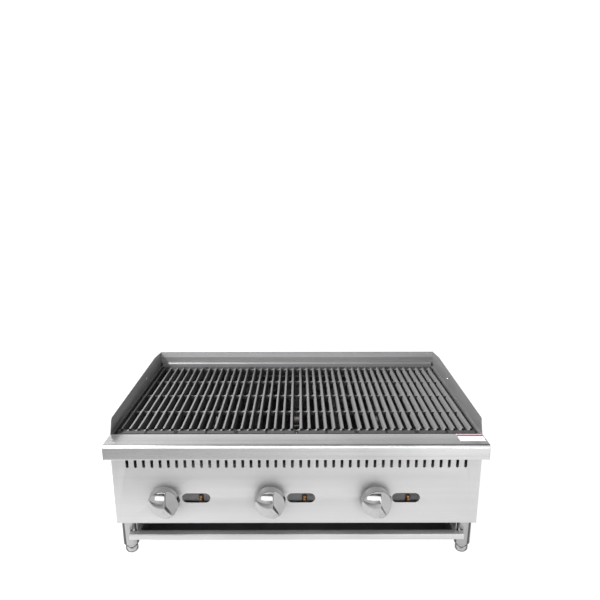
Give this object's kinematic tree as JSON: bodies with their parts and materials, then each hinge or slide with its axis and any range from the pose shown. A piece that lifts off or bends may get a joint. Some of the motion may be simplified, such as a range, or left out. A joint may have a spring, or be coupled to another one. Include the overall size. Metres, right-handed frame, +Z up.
{
  "type": "countertop gas charbroiler",
  "caption": "Countertop gas radiant charbroiler with cast-iron grates, splash guards, bullnose front rail, turning valve knobs, slide-out drip tray and adjustable feet.",
  "frame": {"origin": "on the counter, under the middle of the overall box, with the feet screwed in", "axes": "+X to the cook's right along the front rail, +Y towards the back guard, +Z up; the knobs and the drip tray's pull face -Y"},
  "size_m": [0.914, 0.701, 0.393],
  "materials": {
    "stainless_sheet": "satin stainless steel sheet, grain along each sheet's length",
    "stainless_panel": "fine satin stainless steel sheet, almost even light grey",
    "liner_steel": "aluminised steel sheet, dull",
    "frame_steel": "heat-proof dark grey paint",
    "burner_steel": "plain stainless steel tube, slightly heat tinted",
    "radiant_steel": "pressed steel sheet, dull",
    "cast_iron": "seasoned cast iron, rough, with worn grey bar tops",
    "pipe_iron": "black iron gas pipe",
    "valve_brass": "machined brass",
    "pilot_tube_aluminium": "drawn aluminium tube",
    "knob_chrome": "polished die-cast metal",
    "stem_steel": "turned steel",
    "leg_steel": "polished steel tube",
    "foot_steel": "turned and plated steel",
    "tray_steel": "satin stainless steel sheet",
    "screw_steel": "plain steel",
    "label_film": "blank printed label with a coloured band and no lettering"
  },
  "bodies": {
    "chassis": {"left_side_panel": "stainless_sheet", "right_side_panel": "stainless_sheet", "rear_panel": "stainless_sheet", "rear_liner": "stainless_sheet", "front_panel": "stainless_panel", "front_rail": "stainless_sheet", "left_liner": "liner_steel", "right_liner": "liner_steel", "front_baffle": "liner_steel", "base_frame": "frame_steel", "grate_rest_front": "frame_steel", "grate_rest_rear": "frame_steel", "firebox_crossbars": "frame_steel", "burner_left": "burner_steel", "burner_middle": "burner_steel", "burner_right": "burner_steel", "radiant_1": "radiant_steel", "radiant_2": "radiant_steel", "radiant_3": "radiant_steel", "radiant_4": "radiant_steel", "radiant_5": "radiant_steel", "radiant_6": "radiant_steel", "gas_manifold": "pipe_iron", "manifold_elbow": "pipe_iron", "gas_supply_pipe": "pipe_iron", "gas_valve_left": "valve_brass", "gas_valve_middle": "valve_brass", "gas_valve_right": "valve_brass", "burner_orifices": "valve_brass", "pilot_burners": "burner_steel", "pilot_valves": "valve_brass", "pilot_tubes": "pilot_tube_aluminium", "leg_front_left": "leg_steel", "leg_front_right": "leg_steel", "leg_rear_left": "leg_steel", "leg_rear_right": "leg_steel", "tray_runner_left": "tray_steel", "tray_runner_right": "tray_steel", "fasteners": "screw_steel", "ledge_label": "label_film"},
    "knob_left": {"knob_left": "knob_chrome", "valve_stem_left": "stem_steel"},
    "knob_middle": {"knob_middle": "knob_chrome", "valve_stem_middle": "stem_steel"},
    "knob_right": {"knob_right": "knob_chrome", "valve_stem_right": "stem_steel"},
    "air_shutter_left": {"air_shutter_left": "burner_steel"},
    "air_shutter_middle": {"air_shutter_middle": "burner_steel"},
    "air_shutter_right": {"air_shutter_right": "burner_steel"},
    "foot_front_left": {"foot_front_left": "foot_steel"},
    "foot_front_right": {"foot_front_right": "foot_steel"},
    "foot_rear_left": {"foot_rear_left": "foot_steel"},
    "foot_rear_right": {"foot_rear_right": "foot_steel"},
    "drip_tray": {"drip_tray": "tray_steel"},
    "grate_1": {"grate_1": "cast_iron"},
    "grate_2": {"grate_2": "cast_iron"},
    "grate_3": {"grate_3": "cast_iron"},
    "grate_4": {"grate_4": "cast_iron"},
    "grate_5": {"grate_5": "cast_iron"},
    "grate_6": {"grate_6": "cast_iron"}
  },
  "joints": [
    {"name": "knob_left_turn", "type": "hinge", "parent": "chassis", "child": "knob_left", "pos_m": [-0.329, -0.2935, 0.174], "axis": [0, -1, 0], "range_deg": [0, 90]},
    {"name": "knob_middle_turn", "type": "hinge", "parent": "chassis", "child": "knob_middle", "pos_m": [-0.0658, -0.2935, 0.174], "axis": [0, -1, 0], "range_deg": [0, 90]},
    {"name": "knob_right_turn", "type": "hinge", "parent": "chassis", "child": "knob_right", "pos_m": [0.1974, -0.2935, 0.174], "axis": [0, -1, 0], "range_deg": [0, 90]},
    {"name": "air_shutter_left_turn", "type": "hinge", "parent": "chassis", "child": "air_shutter_left", "pos_m": [-0.329, -0.2385, 0.174], "axis": [0, -1, 0], "range_deg": [0, 45]},
    {"name": "air_shutter_middle_turn", "type": "hinge", "parent": "chassis", "child": "air_shutter_middle", "pos_m": [-0.0658, -0.2385, 0.174], "axis": [0, -1, 0], "range_deg": [0, 45]},
    {"name": "air_shutter_right_turn", "type": "hinge", "parent": "chassis", "child": "air_shutter_right", "pos_m": [0.1974, -0.2385, 0.174], "axis": [0, -1, 0], "range_deg": [0, 45]},
    {"name": "foot_front_left_screw", "type": "slide", "parent": "chassis", "child": "foot_front_left", "axis": [0, 0, -1], "range_m": [0, 0.025]},
    {"name": "foot_front_right_screw", "type": "slide", "parent": "chassis", "child": "foot_front_right", "axis": [0, 0, -1], "range_m": [0, 0.025]},
    {"name": "foot_rear_left_screw", "type": "slide", "parent": "chassis", "child": "foot_rear_left", "axis": [0, 0, -1], "range_m": [0, 0.025]},
    {"name": "foot_rear_right_screw", "type": "slide", "parent": "chassis", "child": "foot_rear_right", "axis": [0, 0, -1], "range_m": [0, 0.025]},
    {"name": "drip_tray_slide", "type": "slide", "parent": "chassis", "child": "drip_tray", "axis": [0, -1, 0], "range_m": [0, 0.66]},
    {"name": "grate_1_lift", "type": "slide", "parent": "chassis", "child": "grate_1", "axis": [0, 0, 1], "range_m": [0, 0.15]},
    {"name": "grate_2_lift", "type": "slide", "parent": "chassis", "child": "grate_2", "axis": [0, 0, 1], "range_m": [0, 0.15]},
    {"name": "grate_3_lift", "type": "slide", "parent": "chassis", "child": "grate_3", "axis": [0, 0, 1], "range_m": [0, 0.15]},
    {"name": "grate_4_lift", "type": "slide", "parent": "chassis", "child": "grate_4", "axis": [0, 0, 1], "range_m": [0, 0.15]},
    {"name": "grate_5_lift", "type": "slide", "parent": "chassis", "child": "grate_5", "axis": [0, 0, 1], "range_m": [0, 0.15]},
    {"name": "grate_6_lift", "type": "slide", "parent": "chassis", "child": "grate_6", "axis": [0, 0, 1], "range_m": [0, 0.15]}
  ]
}
